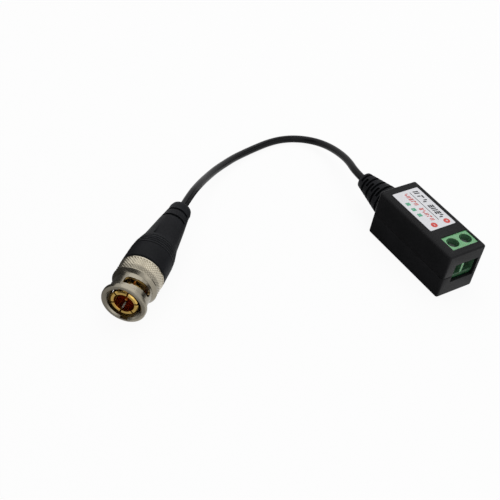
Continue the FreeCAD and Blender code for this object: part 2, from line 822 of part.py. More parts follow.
def coax_cable():
    points = [(tail_x, 0, relief_axis_height), (tail_x - cable_relief_run, 0, relief_axis_height)]
    points += cable_route + [plug_point(boot_end + cable_boot_run), plug_point(boot_end)]
    return tube(points, cable_diameter, "coax_cable")


nodes = {
    "case_base": case_base(),
    "case_top": case_top(),
    "polarity_label": polarity_label(),
    "terminal_housing": terminal_housing(),
    "circuit_board": circuit_board(),
    "balun_core": balun_core(),
    "balun_winding": balun_winding(),
    "chip_capacitor": chip(capacitor_size, capacitor_place),
    "chip_resistor": chip(resistor_size, resistor_place),
    "cable_core_lead": lead(core_lead_route, core_lead_diameter),
    "cable_braid_lead": lead(braid_lead_route, braid_lead_diameter),
    "strain_relief": strain_relief(),
    "coax_cable": coax_cable(),
    "coupling_sleeve": laid_down(coupling_sleeve()),
    "contact_fingers": laid_down(contact_fingers()),
    "plug_body": laid_down(plug_body()),
    "sealing_gasket": laid_down(sealing_gasket()),
    "plug_insulator": laid_down(plug_insulator()),
    "centre_pin": laid_down(centre_pin()),
    "thrust_washer": laid_down(thrust_washer()),
    "wave_washer": laid_down(wave_washer()),
    "retaining_ring": laid_down(retaining_ring()),
    "crimp_ferrule": laid_down(crimp_ferrule()),
    "cable_braid": laid_down(cable_braid()),
    "plug_boot": laid_down(plug_boot()),
}
for name, y in zip(pole_names, pole_y):
    nodes["terminal_screw_" + name] = terminal_screw(y)
    nodes["wire_clamp_" + name] = wire_clamp(y)
    nodes["contact_pin_" + name] = contact_pin(y)

os.makedirs("parts", exist_ok=True)
for name, shape in nodes.items():
    if not shape.isValid():
        print("not valid:", name)
    shape.exportStep("parts/" + name + ".step")
print(len(nodes), "nodes written")
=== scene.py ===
import json
from math import cos, radians, sin

import bpy
from bpy.props import FloatProperty, FloatVectorProperty, IntProperty, PointerProperty
from mathutils import Matrix, Vector


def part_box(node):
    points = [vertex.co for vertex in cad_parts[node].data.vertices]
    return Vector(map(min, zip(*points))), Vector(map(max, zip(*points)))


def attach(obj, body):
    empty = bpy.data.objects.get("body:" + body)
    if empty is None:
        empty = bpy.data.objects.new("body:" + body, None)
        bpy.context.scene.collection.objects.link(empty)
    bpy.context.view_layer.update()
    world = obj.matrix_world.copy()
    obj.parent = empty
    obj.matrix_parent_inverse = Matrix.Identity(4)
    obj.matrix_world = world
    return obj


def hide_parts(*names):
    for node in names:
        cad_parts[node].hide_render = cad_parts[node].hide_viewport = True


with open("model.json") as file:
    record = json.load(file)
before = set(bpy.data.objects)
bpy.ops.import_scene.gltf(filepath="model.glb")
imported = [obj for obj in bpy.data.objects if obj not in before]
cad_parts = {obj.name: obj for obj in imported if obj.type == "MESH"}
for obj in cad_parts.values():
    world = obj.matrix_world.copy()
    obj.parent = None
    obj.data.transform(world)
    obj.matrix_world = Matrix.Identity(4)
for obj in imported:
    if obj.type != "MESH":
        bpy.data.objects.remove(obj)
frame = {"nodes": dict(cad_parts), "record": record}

bl_info = {
    "name": "Video balun looks",
    "version": (1, 0, 0),
    "blender": (4, 5, 0),
    "location": "View3D > Sidebar > Balun",
    "description": "Dresses the video balun's case, terminals, cable and bayonet plug",
    "category": "Object",
}

MM = 0.001

# Where the plug's front face lies, and how its axis is turned and tilted
PLUG_FRONT = Vector((-13.4, -94.5, 6.3635)) * MM
PLUG_HEADING = radians(128.3)
PLUG_TILT = radians(3.3)

# Where the two terminals stand, in millimetres to the side
POLE_PLACES = (-1.5, 3.5)

# Boxes in millimetres that little light reaches, where the housing's green is painted darker as painted shade:
# the two driver holes, the space on each side of the wall between the wire entries, and the sill in front of
# them
SHADE_PAINTED_PLACES = [((9.0, y - 1.93, 11.9), (12.8, y + 1.93, 15.3)) for y in POLE_PLACES] + [
    ((8.3, -5.0, 5.0), (15.6, 0.6, 11.8)), ((8.3, 1.4, 5.0), (15.6, 7.0, 11.8)),
    ((14.4, -5.0, 3.0), (15.6, 7.0, 6.75))]

# Points along the cable's middle, in millimetres, from the strain relief to the boot
CABLE_ROUTE = [
    (-30.4, 0.0, 7.9), (-34.6, 0.0, 7.9), (-41.4, 2.5, 6.9), (-48.6, 3.9, 5.2), (-55.6, 4.2, 3.2),
    (-61.0, 2.2, 1.8), (-64.2, -1.8, 1.3), (-65.5, -6.8, 1.3), (-65.5, -12.0, 1.3), (-64.7, -17.2, 1.3),
    (-63.5, -22.5, 1.5), (-61.8, -28.1, 2.0), (-59.6, -33.0, 2.7), (-56.7, -38.6, 3.8), (-53.0, -44.2, 5.3),
    (-48.4, -50.2, 7.5), (-43.348, -56.58, 9.15), (-39.264, -61.751, 8.77),
]

# The label's rule, discs and signs, in millimetres along and across the case
RULE = (-12.0, 1.5, 1.02, 1.18)
DISC_ALONG, DISCS_ACROSS, DISC_RADIUS = 2.9, (3.1, -1.9), 1.05
SIGN_ARM, SIGN_STROKE = 0.4, 0.1
DISC_BORDER = 0.05

# How far a block of ink is rounded at its corners, as a share of its shorter side
INK_ROUNDING = 0.25

# Points closer than this become one, and faces that meet at less than this become one flat face
SAME_POINT, SAME_FACE = 0.001 * MM, radians(0.5)

# Rounding of the edges of the terminal block, the cages and the contacts
BLOCK_EDGE, CAGE_EDGE, CONTACT_EDGE = 0.1 * MM, 0.08 * MM, 0.06 * MM

# Edges that turn by more than the first are softened, and ones that turn by less than the others are shaded
# as one surface: the second on turned and moulded pieces, the third on rubber
CORNER = radians(50)
SMOOTH_TURNED, SMOOTH_RUBBER = radians(32), radians(40)

# The scale of a wave texture times the width of one of its waves
ONE_WAVE = 0.314

# The stage, in metres. The floor lies a hair below zero and glows to the camera, but not in a small oval spot
# under the plug, given by its middle and its half length and width. Each lamp has a dim card close behind it.
STAGE_MIDDLE = Vector((-0.02, -0.04, 0.0))
FLOOR_SIZE, FLOOR_BELOW, FLOOR_GLOW = 3.0, 0.00005, 0.93
SPOT_MIDDLE, SPOT_HALF = (-0.0191, -0.0889, 0.0), (0.0055, 0.003, 1.0)
DIM_GLOW, FRONT_GLOW = 0.08, 0.5
CARD_BEHIND_LAMP = 0.01

# A card stands close on the plug's left: 14 mm back from its front face, 9.5 mm to the side and 8 mm up
PLUG_BACK = Vector((cos(PLUG_HEADING), sin(PLUG_HEADING), 0))
PLUG_LEFT = Vector((-PLUG_BACK.y, PLUG_BACK.x, 0))
CLOSE_LEFT = Vector((PLUG_FRONT.x, PLUG_FRONT.y, 0.008)) + PLUG_BACK * 0.014 + PLUG_LEFT * 0.0095

# The dim cards: where each one stands, the point that it faces, its width, height and glow
DIM_CARDS = (
    ("flag_near", (0.03, -0.62, 0.33), PLUG_FRONT, 0.75, 0.5, DIM_GLOW),
    ("flag_beside", (0.12, 0.42, 0.07), PLUG_FRONT, 0.4, 0.14, DIM_GLOW),
    ("flag_box", CLOSE_LEFT, CLOSE_LEFT - PLUG_LEFT, 0.03, 0.016, DIM_GLOW),
    ("flag_floor", (-0.01, -0.029, 0.0005), (-0.01, -0.029, 1.0), 0.08, 0.044, DIM_GLOW),
    ("flag_front", (-0.018, -0.11, 0.0005), (-0.018, -0.11, 1.0), 0.04, 0.034, FRONT_GLOW),
    ("flag_over", (-0.057, 0.05, 0.085), (0.0, 0.0, 0.0155), 0.06, 0.06, DIM_GLOW),
)

# The lamps: where each one stands and the side of its square
LAMPS = (("key_light", Vector((-0.15, 0.1, 0.55)), 0.7), ("fill_light", Vector((0.5, -0.15, 0.3)), 0.35))

# The camera: its lens for a 36 mm sensor, its place, and its right, up and back directions
LENS, SENSOR = 72.0, 36.0
CAMERA_PLACE = Vector((0.14505, -0.19303, 0.19214))
CAMERA_AXES = Matrix(((0.54156, 0.82629, 0.15478), (-0.61575, 0.26453, 0.74221), (0.57234, -0.49726, 0.65205)))


def linear(code):
    """Turn a colour written as #RRGGBB into linear light."""
    shares = [int(code[i:i + 2], 16) / 255 for i in (1, 3, 5)]
    return tuple(c / 12.92 if c <= 0.04045 else ((c + 0.055) / 1.055) ** 2.4 for c in shares)


def colour(name, description, code):
    """A colour that can be changed in the sidebar."""
    return FloatVectorProperty(name=name, description=description, subtype="COLOR", size=3,
                               min=0.0, max=1.0, default=linear(code))


def length(name, description, millimetres):
    """A size that can be changed in the sidebar."""
    return FloatProperty(name=name, description=description, subtype="DISTANCE", unit="LENGTH",
                         min=0.0, precision=5, default=millimetres * MM)


class CaseSettings(bpy.types.PropertyGroup):
    """Colours and sizes of the case, its label and the print on it"""
    plastic: colour("Case", "Colour of the moulded case", "#141416")
    vinyl: colour("Label", "Colour of the label's vinyl", "#EDEDF1")
    dark_ink: colour("Dark ink", "Colour of the label's upper row", "#2E2E32")
    red_ink: colour("Red ink", "Colour of the middle row and the two discs", "#D8473F")
    green_ink: colour("Green ink", "Colour of the lower row", "#5CBF97")
    ink_thickness: length("Ink", "Height of the print on the label", 0.02)
    edge: length("Edge", "Radius of the small rounding on moulded edges", 0.12)


class TerminalSettings(bpy.types.PropertyGroup):
    """Colours of the terminal block and its screws"""
    housing: colour("Housing", "Colour of the terminal block", "#74B27E")
    screw: colour("Screw", "Colour of the plated screws", "#A9ABAD")


class PlugSettings(bpy.types.PropertyGroup):
    """Colours of the plug's metal and of its boot"""
    nickel: colour("Nickel", "Colour of the plated sleeve", "#ABA494")
    gold: colour("Gold", "Colour of the contact fingers and pin", "#D6B262")
    rubber: colour("Boot", "Colour of the moulded boot", "#16171A")


class CableSettings(bpy.types.PropertyGroup):
    """Colour, size and smoothness of the cable"""
    sheath: colour("Sheath", "Colour of the cable's sheath", "#0F0F11")
    diameter: length("Diameter", "Outside diameter of the cable", 2.4)
    resolution: IntProperty(name="Smoothness", description="Points along each part of the cable's curve",
                            default=16, min=4, max=64)


class StageSettings(bpy.types.PropertyGroup):
    """Colour of the floor and strength of the lights"""
    floor: colour("Floor", "Colour of the floor", "#F4F4F4")
    key_power: FloatProperty(name="Key light", description="Power of the large light overhead",
                             unit="POWER", default=2.35, min=0.0)
    fill_power: FloatProperty(name="Fill light", description="Power of the light beside the wire entries",
                              unit="POWER", default=0.6, min=0.0)
    world_light: FloatProperty(name="Room light", description="Brightness of the light from all round",
                               default=0.3, min=0.0)


# Materials. Grains, rings and strands that are finer than about 0.2 mm on the real piece don't show in the
# render, so they are drawn coarser, and a comment gives both sizes.

def add(tree, kind, inputs=None, stops=(), **settings):
    """Add a node with its settings, its input values, the links into it and the stops of its ramp.

    A link comes from a socket, or from a node whose first output is meant.
    """
    node = tree.nodes.new(kind)
    for name, value in settings.items():
        setattr(node, name, value)
    for socket, value in (inputs or {}).items():
        if isinstance(value, bpy.types.Node):
            value = value.outputs[0]
        if isinstance(value, bpy.types.NodeSocket):
            tree.links.new(value, node.inputs[socket])
        else:
            node.inputs[socket].default_value = value
    for i, (position, shade) in enumerate(stops):
        stop = node.color_ramp.elements[i]
        stop.position, stop.color = position, (*shade, 1)
    return node


def start(name, base, roughness, **constants):
    """A new material, its shader with the plain values set on it, and the places that its patterns read."""
    made = bpy.data.materials.new(name)
    made.use_nodes = True
    tree = made.node_tree
    shader = tree.nodes["Principled BSDF"]
    shader.inputs["Base Color"].default_value = (*base, 1)
    shader.inputs["Roughness"].default_value = roughness
    for socket, value in constants.items():
        shader.inputs[socket.replace("_", " ")].default_value = value
    return made, tree, shader, add(tree, "ShaderNodeTexCoord").outputs["Object"]


def follow(tree, shader, pattern, shade=None, reach=(0.35, 0.65), polish=None, relief=None):
    """Let the shader's colour, roughness or relief follow a pattern.

    shade holds two colours, reach the values of the pattern at which they are met, polish two values of
    roughness, and relief a depth in metres and a strength.
    """
    if shade:
        ramp = add(tree, "ShaderNodeValToRGB", {"Fac": pattern}, zip(reach, shade))
        tree.links.new(ramp.outputs["Color"], shader.inputs["Base Color"])
    if polish:
        spread = add(tree, "ShaderNodeMapRange", {"Value": pattern, "From Min": 0.3, "From Max": 0.7,
                                                  "To Min": polish[0], "To Max": polish[1]})
        tree.links.new(spread.outputs["Result"], shader.inputs["Roughness"])
    if relief:
        bump = add(tree, "ShaderNodeBump", {"Height": pattern, "Distance": relief[0], "Strength": relief[1]})
        tree.links.new(bump.outputs["Normal"], shader.inputs["Normal"])


def scaled(base, by):
    """A darker or lighter version of a colour."""
    return tuple(min(1.0, c * by) for c in base)


def outside_box(tree, where, low, high):
    """Nought inside a box given in millimetres, rising to one a little way outside it."""
    middle = [(a + b) / 2 * MM for a, b in zip(low, high)]
    half = [(b - a) / 2 * MM for a, b in zip(low, high)]
    away = add(tree, "ShaderNodeVectorMath", {0: where, 1: middle}, operation="SUBTRACT")
    size = add(tree, "ShaderNodeVectorMath", {0: away}, operation="ABSOLUTE")
    over = add(tree, "ShaderNodeVectorMath", {0: size, 1: half}, operation="SUBTRACT")
    split = add(tree, "ShaderNodeSeparateXYZ", {0: over})
    most = add(tree, "ShaderNodeMath", {0: split.outputs[0], 1: split.outputs[1]}, operation="MAXIMUM")
    most = add(tree, "ShaderNodeMath", {0: most, 1: split.outputs[2]}, operation="MAXIMUM")
    return add(tree, "ShaderNodeMapRange", {"Value": most, "From Min": 0.0, "From Max": 0.1 * MM})


def along_plug(tree, where):
    """Places turned so that X runs down the plug from its front face."""
    return add(tree, "ShaderNodeMapping", {"Vector": where, "Location": PLUG_FRONT,
                                           "Rotation": (0, -PLUG_TILT, PLUG_HEADING)},
               vector_type="TEXTURE").outputs["Vector"]


def abs_spark_eroded():
    # ABS moulded in a spark-eroded tool: a fine even grain that greys the highlights. The grain is typically
    # 0.08 mm across and is drawn at 0.25 mm; the broad pattern is the flow of the moulding.
    base = bpy.context.scene.balun_case.plastic
    made, tree, shader, where = start("abs_spark_eroded", base, 0.5, Specular_IOR_Level=0.15)
    fine = add(tree, "ShaderNodeTexNoise", {"Vector": where, "Scale": 1 / (0.25 * MM), "Detail": 4.0})
    broad = add(tree, "ShaderNodeTexNoise", {"Vector": where, "Scale": 1 / (9 * MM), "Detail": 3.0})
    follow(tree, shader, broad, shade=(scaled(base, 0.85), scaled(base, 1.2)))
    follow(tree, shader, fine, polish=(0.42, 0.6), relief=(0.02 * MM, 0.5))
    return made


def vinyl_printed():
    # Silvery white vinyl sticker, calendered: nearly smooth, with a faint orange peel of 0.8 mm ripples
    base = bpy.context.scene.balun_case.vinyl
    made, tree, shader, where = start("vinyl_printed", base, 0.35, IOR=1.5)
    peel = add(tree, "ShaderNodeTexNoise", {"Vector": where, "Scale": 1 / (0.8 * MM), "Detail": 2.0})
    cloud = add(tree, "ShaderNodeTexNoise", {"Vector": where, "Scale": 1 / (4 * MM), "Detail": 3.0})
    follow(tree, shader, cloud, shade=(scaled(base, 0.96), base))
    follow(tree, shader, peel, relief=(0.01 * MM, 0.3))
    return made


def ink(name, base):
    """Screen-printed ink: flat, slightly uneven where the screen left less of it.

    The threads of the screen are typically 0.15 mm apart, and their marks are drawn at 0.5 mm.
    """
    made, tree, shader, where = start(name, base, 0.45, IOR=1.5)
    thin = add(tree, "ShaderNodeTexNoise", {"Vector": where, "Scale": 1 / (0.5 * MM), "Detail": 3.0})
    follow(tree, shader, thin, shade=(scaled(base, 0.92), scaled(base, 1.12)))
    return made


def ink_dark():
    # Dark screen ink of the upper row and the rule under it
    return ink("ink_dark", bpy.context.scene.balun_case.dark_ink)


def ink_red():
    # Red screen ink of the middle row and the polarity discs
    return ink("ink_red", bpy.context.scene.balun_case.red_ink)


def ink_green():
    # Sea-green screen ink of the lower row
    return ink("ink_green", bpy.context.scene.balun_case.green_ink)


def polyamide_moulded():
    # Moulded polyamide: waxy, with a soft glow at thin walls, and painted darker in its deep places as painted
    # shade.
    # Its grain is typically 0.1 mm across and is drawn at 0.3 mm.
    base = bpy.context.scene.balun_terminals.housing
    made, tree, shader, where = start("polyamide_moulded", base, 0.42, IOR=1.53, Subsurface_Weight=0.08,
                                      Subsurface_Scale=0.6 * MM)
    outside = outside_box(tree, where, *SHADE_PAINTED_PLACES[0])
    for low, high in SHADE_PAINTED_PLACES[1:]:
        outside = add(tree, "ShaderNodeMath", {0: outside, 1: outside_box(tree, where, low, high)},
                      operation="MINIMUM")
    # painted shade: a darker green inside the deep places, the housing's own green elsewhere
    follow(tree, shader, outside, shade=(linear("#3C6446"), base), reach=(0.0, 1.0))
    fine = add(tree, "ShaderNodeTexNoise", {"Vector": where, "Scale": 1 / (0.3 * MM), "Detail": 3.0})
    follow(tree, shader, fine, relief=(0.01 * MM, 0.4))
    return made


def steel_zinc_plated():
    # Bright zinc over turned steel: bluish grey, shinier and duller in patches of 0.4 mm
    base = bpy.context.scene.balun_terminals.screw
    made, tree, shader, where = start("steel_zinc_plated", base, 0.3, Metallic=1.0)
    patches = add(tree, "ShaderNodeTexNoise", {"Vector": where, "Scale": 1 / (0.4 * MM), "Detail": 3.0})
    follow(tree, shader, patches, polish=(0.22, 0.42))
    return made


def brass_tinned():
    # Stamped brass with a dull tin coat: a cloudy grey metal. The coat's crystals are typically 0.05 mm
    # across and are drawn at 0.3 mm.
    base = linear("#B3B0A6")
    made, tree, shader, where = start("brass_tinned", base, 0.38, Metallic=1.0)
    cloud = add(tree, "ShaderNodeTexNoise", {"Vector": where, "Scale": 1 / (0.9 * MM), "Detail": 3.0})
    fine = add(tree, "ShaderNodeTexNoise", {"Vector": where, "Scale": 1 / (0.3 * MM), "Detail": 3.0})
    follow(tree, shader, cloud, shade=(scaled(base, 0.8), base))
    follow(tree, shader, fine, polish=(0.3, 0.5))
    return made


def laminate_solder_masked():
    # Glass-cloth laminate under green solder mask: threads 0.5 mm apart show as a faint grid
    base = linear("#17512F")
    made, tree, shader, where = start("laminate_solder_masked", base, 0.25, IOR=1.5)
    warp, weft = (add(tree, "ShaderNodeTexWave", {"Vector": where, "Scale": ONE_WAVE / (0.5 * MM)},
                      wave_type="BANDS", bands_direction=axis).outputs["Fac"] for axis in "XY")
    cloth = add(tree, "ShaderNodeMath", {0: warp, 1: weft}, operation="MULTIPLY")
    follow(tree, shader, cloth, shade=(scaled(base, 0.85), scaled(base, 1.15)), reach=(0.0, 1.0),
           relief=(0.01 * MM, 0.4))
    return made


def ferrite_sintered():
    # Sintered ferrite: dark grey and matte, with a gritty face. The grit is typically 0.05 mm across and is
    # drawn at 0.2 mm.
    base = linear("#2B2C30")
    made, tree, shader, where = start("ferrite_sintered", base, 0.7)
    grit = add(tree, "ShaderNodeTexNoise", {"Vector": where, "Scale": 1 / (0.2 * MM), "Detail": 5.0})
    follow(tree, shader, grit, shade=(scaled(base, 0.7), scaled(base, 1.3)), relief=(0.02 * MM, 0.6))
    return made


def copper_enamelled():
    # Copper under clear enamel: a red-brown metal with a gloss coat
    base = linear("#B0562A")
    made, tree, shader, where = start("copper_enamelled", base, 0.3, Metallic=1.0, Coat_Weight=0.8,
                                      Coat_Roughness=0.08)
    cloud = add(tree, "ShaderNodeTexNoise", {"Vector": where, "Scale": 1 / (0.6 * MM), "Detail": 3.0})
    follow(tree, shader, cloud, shade=(scaled(base, 0.8), scaled(base, 1.1)))
    return made


def ceramic_fired():
    # Fired ceramic of small board parts: tan and even, with specks of 0.05 mm drawn at 0.3 mm
    base = linear("#A08258")
    made, tree, shader, where = start("ceramic_fired", base, 0.4)
    specks = add(tree, "ShaderNodeTexNoise", {"Vector": where, "Scale": 1 / (0.3 * MM), "Detail": 3.0})
    follow(tree, shader, specks, shade=(scaled(base, 0.9), scaled(base, 1.08)))
    return made


def copper_tinned():
    # Fine tinned wires laid side by side: a grey metal with a stranded grain. The wires are typically 0.1 mm
    # thick and are drawn at 0.15 mm.
    base = linear("#B9B7B0")
    made, tree, shader, where = start("copper_tinned", base, 0.35, Metallic=1.0)
    strands = add(tree, "ShaderNodeTexWave", {"Vector": where, "Scale": ONE_WAVE / (0.15 * MM),
                                              "Distortion": 1.5},
                  wave_type="BANDS", bands_direction="DIAGONAL").outputs["Fac"]
    follow(tree, shader, strands, shade=(scaled(base, 0.6), base), reach=(0.2, 0.8), relief=(0.03 * MM, 0.6))
    return made


def rubber_moulded():
    # Black rubber off a sand-blasted mould: matte, greyed by a fine dusty bloom. The blast marks are
    # typically 0.1 mm across and are drawn at 0.3 mm.
    base = bpy.context.scene.balun_plug.rubber
    made, tree, shader, where = start("rubber_moulded", base, 0.6, Specular_IOR_Level=0.1)
    fine = add(tree, "ShaderNodeTexNoise", {"Vector": where, "Scale": 1 / (0.3 * MM), "Detail": 4.0})
    bloom = add(tree, "ShaderNodeTexNoise", {"Vector": where, "Scale": 1 / (6 * MM), "Detail": 3.0})
    follow(tree, shader, bloom, shade=(scaled(base, 0.8), scaled(base, 1.25)))
    follow(tree, shader, fine, polish=(0.5, 0.7), relief=(0.02 * MM, 0.45))
    return made


def pvc_extruded():
    # Extruded PVC sheath: satin, with a soft highlight down its length and slow waves from the extruder,
    # 0.5 to 5 mm long
    base = bpy.context.scene.balun_cable.sheath
    made, tree, shader, where = start("pvc_extruded", base, 0.28, Specular_IOR_Level=0.14)
    broad, middling, fine = (
        add(tree, "ShaderNodeTexNoise", {"Vector": where, "Scale": 1 / size, "Detail": 3.0})
        for size in (5 * MM, 1.2 * MM, 0.5 * MM))
    follow(tree, shader, broad, shade=(scaled(base, 0.85), scaled(base, 1.2)))
    follow(tree, shader, middling, polish=(0.22, 0.34))
    follow(tree, shader, fine, relief=(0.01 * MM, 0.3))
    return made


def nickel_satin():
    # Nickel over turned brass: warm grey, slightly cloudy, with fine turning rings. The lathe's feed is
    # typically 0.05 mm, and the rings are drawn 0.2 mm apart.
    base = bpy.context.scene.balun_plug.nickel
    made, tree, shader, where = start("nickel_satin", base, 0.26, Metallic=1.0)
    where = along_plug(tree, where)
    rings = add(tree, "ShaderNodeTexWave", {"Vector": where, "Scale": ONE_WAVE / (0.2 * MM),
                                            "Distortion": 0.6, "Detail": 1.0},
                wave_type="BANDS", bands_direction="X").outputs["Fac"]
    cloud = add(tree, "ShaderNodeTexNoise", {"Vector": where, "Scale": 1 / (2.5 * MM), "Detail": 3.0})
    # painted reflection: the polished turned parts are painted darker and the frosty knurl, which starts 9 mm
    # down the plug, lighter, for how bright each one looks in the studio's light
    down = add(tree, "ShaderNodeSeparateXYZ", {0: where})
    back = add(tree, "ShaderNodeMapRange", {"Value": down, "From Min": 9.0 * MM, "From Max": 9.6 * MM})
    share = add(tree, "ShaderNodeMath", {0: cloud, 1: 0.45, 2: back}, operation="MULTIPLY_ADD")
    follow(tree, shader, share, shade=(scaled(base, 0.62), scaled(base, 1.2)), reach=(0.1, 1.0))
    follow(tree, shader, cloud, polish=(0.2, 0.34))
    follow(tree, shader, rings, relief=(0.004 * MM, 0.35))
    return made


def gold_plated():
    # Gold flash over sprung brass: yellow outside and on the rims, painted brown down inside the fingers as
    # painted shade of their deep bore
    base = bpy.context.scene.balun_plug.gold
    made, tree, shader, where = start("gold_plated", base, 0.24, Metallic=1.0)
    where = along_plug(tree, where)
    cloud = add(tree, "ShaderNodeTexNoise", {"Vector": where, "Scale": 1 / (1.2 * MM), "Detail": 3.0})
    across = add(tree, "ShaderNodeVectorMath", {0: where, 1: (0, 1, 1)}, operation="MULTIPLY")
    radius = add(tree, "ShaderNodeVectorMath", {0: across}, operation="LENGTH").outputs["Value"]
    outside = add(tree, "ShaderNodeMapRange", {"Value": radius, "From Min": 2.92 * MM, "From Max": 3.02 * MM})
    patches = add(tree, "ShaderNodeMath", {0: cloud, 1: 0.3, 2: 0.85}, operation="MULTIPLY_ADD")
    share = add(tree, "ShaderNodeMath", {0: outside, 1: patches}, operation="MULTIPLY")
    # painted shade: brown inside the fingers' bore, 2.9 mm in radius, and the gold with random patches outside
    # it
    follow(tree, shader, share, shade=(linear("#B87430"), base), reach=(0.0, 1.0))
    follow(tree, shader, cloud, polish=(0.18, 0.32))
    return made


def ptfe_turned():
    # Turned PTFE: waxy white
    base = linear("#D9D9D4")
    made, tree, shader, where = start("ptfe_turned", base, 0.4, Subsurface_Weight=0.15,
                                      Subsurface_Scale=0.5 * MM)
    cloud = add(tree, "ShaderNodeTexNoise", {"Vector": where, "Scale": 1 / (1.5 * MM), "Detail": 3.0})
    follow(tree, shader, cloud, shade=(scaled(base, 0.9), base))
    return made


def resin_moulded():
    # Moulded amber resin deep in the plug: brown and slightly glossy
    base = linear("#C4702A")
    made, tree, shader, where = start("resin_moulded", base, 0.4, Specular_IOR_Level=0.3)
    cloud = add(tree, "ShaderNodeTexNoise", {"Vector": where, "Scale": 1 / (1.5 * MM), "Detail": 3.0})
    follow(tree, shader, cloud, shade=(scaled(base, 0.85), scaled(base, 1.1)))
    return made


def silicone_moulded():
    # Moulded silicone ring: very dark red-brown and soft to the eye; its red-brown is painted this dark as
    # painted shade deep in the plug's mouth
    base = linear("#2E1510")
    made, tree, shader, where = start("silicone_moulded", base, 0.5)
    cloud = add(tree, "ShaderNodeTexNoise", {"Vector": where, "Scale": 1 / (1.0 * MM), "Detail": 3.0})
    follow(tree, shader, cloud, shade=(scaled(base, 0.9), scaled(base, 1.1)))
    return made


def steel_spring():
    # Plain spring steel: grey and rolled, with a faint oil film
    base = linear("#8C8D8F")
    made, tree, shader, where = start("steel_spring", base, 0.33, Metallic=1.0)
    film = add(tree, "ShaderNodeTexNoise", {"Vector": where, "Scale": 1 / (1.0 * MM), "Detail": 3.0})
    follow(tree, shader, film, shade=(scaled(base, 0.85), base))
    return made


MATERIAL_OF_SLOT = {
    "black_abs": abs_spark_eroded, "label_vinyl": vinyl_printed, "green_nylon": polyamide_moulded,
    "board_laminate": laminate_solder_masked, "ferrite": ferrite_sintered,
    "enamelled_copper": copper_enamelled, "chip_ceramic": ceramic_fired, "tinned_copper": copper_tinned,
    "black_rubber": rubber_moulded, "black_pvc": pvc_extruded, "nickel_plate": nickel_satin,
    "gold_plate": gold_plated, "white_ptfe": ptfe_turned, "brown_resin": resin_moulded,
    "red_silicone": silicone_moulded, "spring_steel": steel_spring, "zinc_steel": steel_zinc_plated,
    "tinned_brass": brass_tinned,
}


def material(make):
    """The material that a function makes, made only once."""
    return bpy.data.materials.get(make.__name__) or make()


# Working on meshes

def pick(piece):
    """Select one piece alone and make it active."""
    bpy.ops.object.select_all(action="DESELECT")
    piece.select_set(True)
    bpy.context.view_layer.objects.active = piece


def faces_where(piece, test):
    """Select the faces of a piece in edit mode whose middle and normal pass a test."""
    bpy.ops.mesh.select_all(action="DESELECT")
    bpy.ops.object.mode_set(mode="OBJECT")
    for polygon in piece.data.polygons:
        polygon.select = test(polygon.center, polygon.normal)
    bpy.ops.object.mode_set(mode="EDIT")


def dress(piece, make, body):
    """Give a piece its material and the body that it moves with."""
    piece.data.materials.clear()
    piece.data.materials.append(material(make))
    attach(piece, body)
    return piece


def slot_of(node):
    """The material slot that the record gives a CAD node."""
    return next(row["material_slot"] for row in frame["record"]["subparts"] if row["node"] == node)


def body_of(node):
    """The body that a CAD node moves with."""
    return next(name for name, nodes in frame["record"]["behaviour"]["bodies"].items() if node in nodes)


def paint(node):
    """Give a CAD node that is shown as it is the material of its slot."""
    piece = frame["nodes"][node]
    piece.data.materials.clear()
    piece.data.materials.append(material(MATERIAL_OF_SLOT[slot_of(node)]))


def finished(node, name, edge=0.0, smooth_angle=SMOOTH_TURNED):
    """A merged copy of a CAD node with smooth curved faces and, if asked, softened edges."""
    mesh = frame["nodes"][node].data.copy()
    mesh.name = name
    piece = bpy.data.objects.new(name, mesh)
    bpy.context.scene.collection.objects.link(piece)
    pick(piece)
    bpy.ops.mesh.customdata_custom_splitnormals_clear()
    bpy.ops.object.mode_set(mode="EDIT")
    bpy.ops.mesh.select_all(action="SELECT")
    bpy.ops.mesh.remove_doubles(threshold=SAME_POINT)
    bpy.ops.mesh.dissolve_limited(angle_limit=SAME_FACE)
    bpy.ops.object.mode_set(mode="OBJECT")
    if edge:
        soften = piece.modifiers.new("edge", "BEVEL")
        soften.width, soften.segments = edge, 2
        soften.limit_method, soften.angle_limit = "ANGLE", CORNER
        bpy.ops.object.modifier_apply(modifier=soften.name)
    bpy.ops.object.shade_smooth_by_angle(angle=smooth_angle)
    dress(piece, MATERIAL_OF_SLOT[slot_of(node)], body_of(node))
    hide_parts(node)
    return piece


# Label print

def ink_block(x0, x1, y0, y1, slant, base_z):
    """A block of ink with softened corners, leaning forward as italic print does."""
    height = bpy.context.scene.balun_case.ink_thickness
    middle = ((x0 + x1) / 2 * MM, (y0 + y1) / 2 * MM, base_z + height / 2)
    bpy.ops.object.select_all(action="DESELECT")
    bpy.ops.mesh.primitive_cube_add(size=1, scale=((x1 - x0) * MM, (y1 - y0) * MM, height), location=middle)
    block = bpy.context.object
    bpy.ops.object.transform_apply(location=True, rotation=True, scale=True)
    bpy.ops.object.mode_set(mode="EDIT")
    faces_where(block, lambda at, normal: normal.y > 0.9)
    bpy.ops.transform.translate(value=(slant * (y1 - y0) * MM, 0, 0))
    faces_where(block, lambda at, normal: abs(normal.z) > 0.9)
    bpy.ops.mesh.bevel(offset=INK_ROUNDING * min(x1 - x0, y1 - y0) * MM, segments=2, affect="EDGES")
    bpy.ops.object.mode_set(mode="OBJECT")
    return block


# Plain groups of bars that stand for the rows of print: left, right, low and high in shares of a cell
BAR_GROUPS = {
    "pair": ((0.0, 0.3, 0.0, 1.0), (0.7, 1.0, 0.0, 1.0)),
    "corner": ((0.0, 1.0, 0.76, 1.0), (0.0, 0.3, 0.0, 0.6)),
    "step": ((0.0, 0.3, 0.4, 1.0), (0.7, 1.0, 0.0, 0.6)),
    "three": ((0.0, 1.0, 0.78, 1.0), (0.0, 1.0, 0.39, 0.61), (0.0, 1.0, 0.0, 0.22)),
    "bricks": ((0.0, 1.0, 0.62, 1.0), (0.0, 0.42, 0.0, 0.48), (0.58, 1.0, 0.0, 0.48)),
}

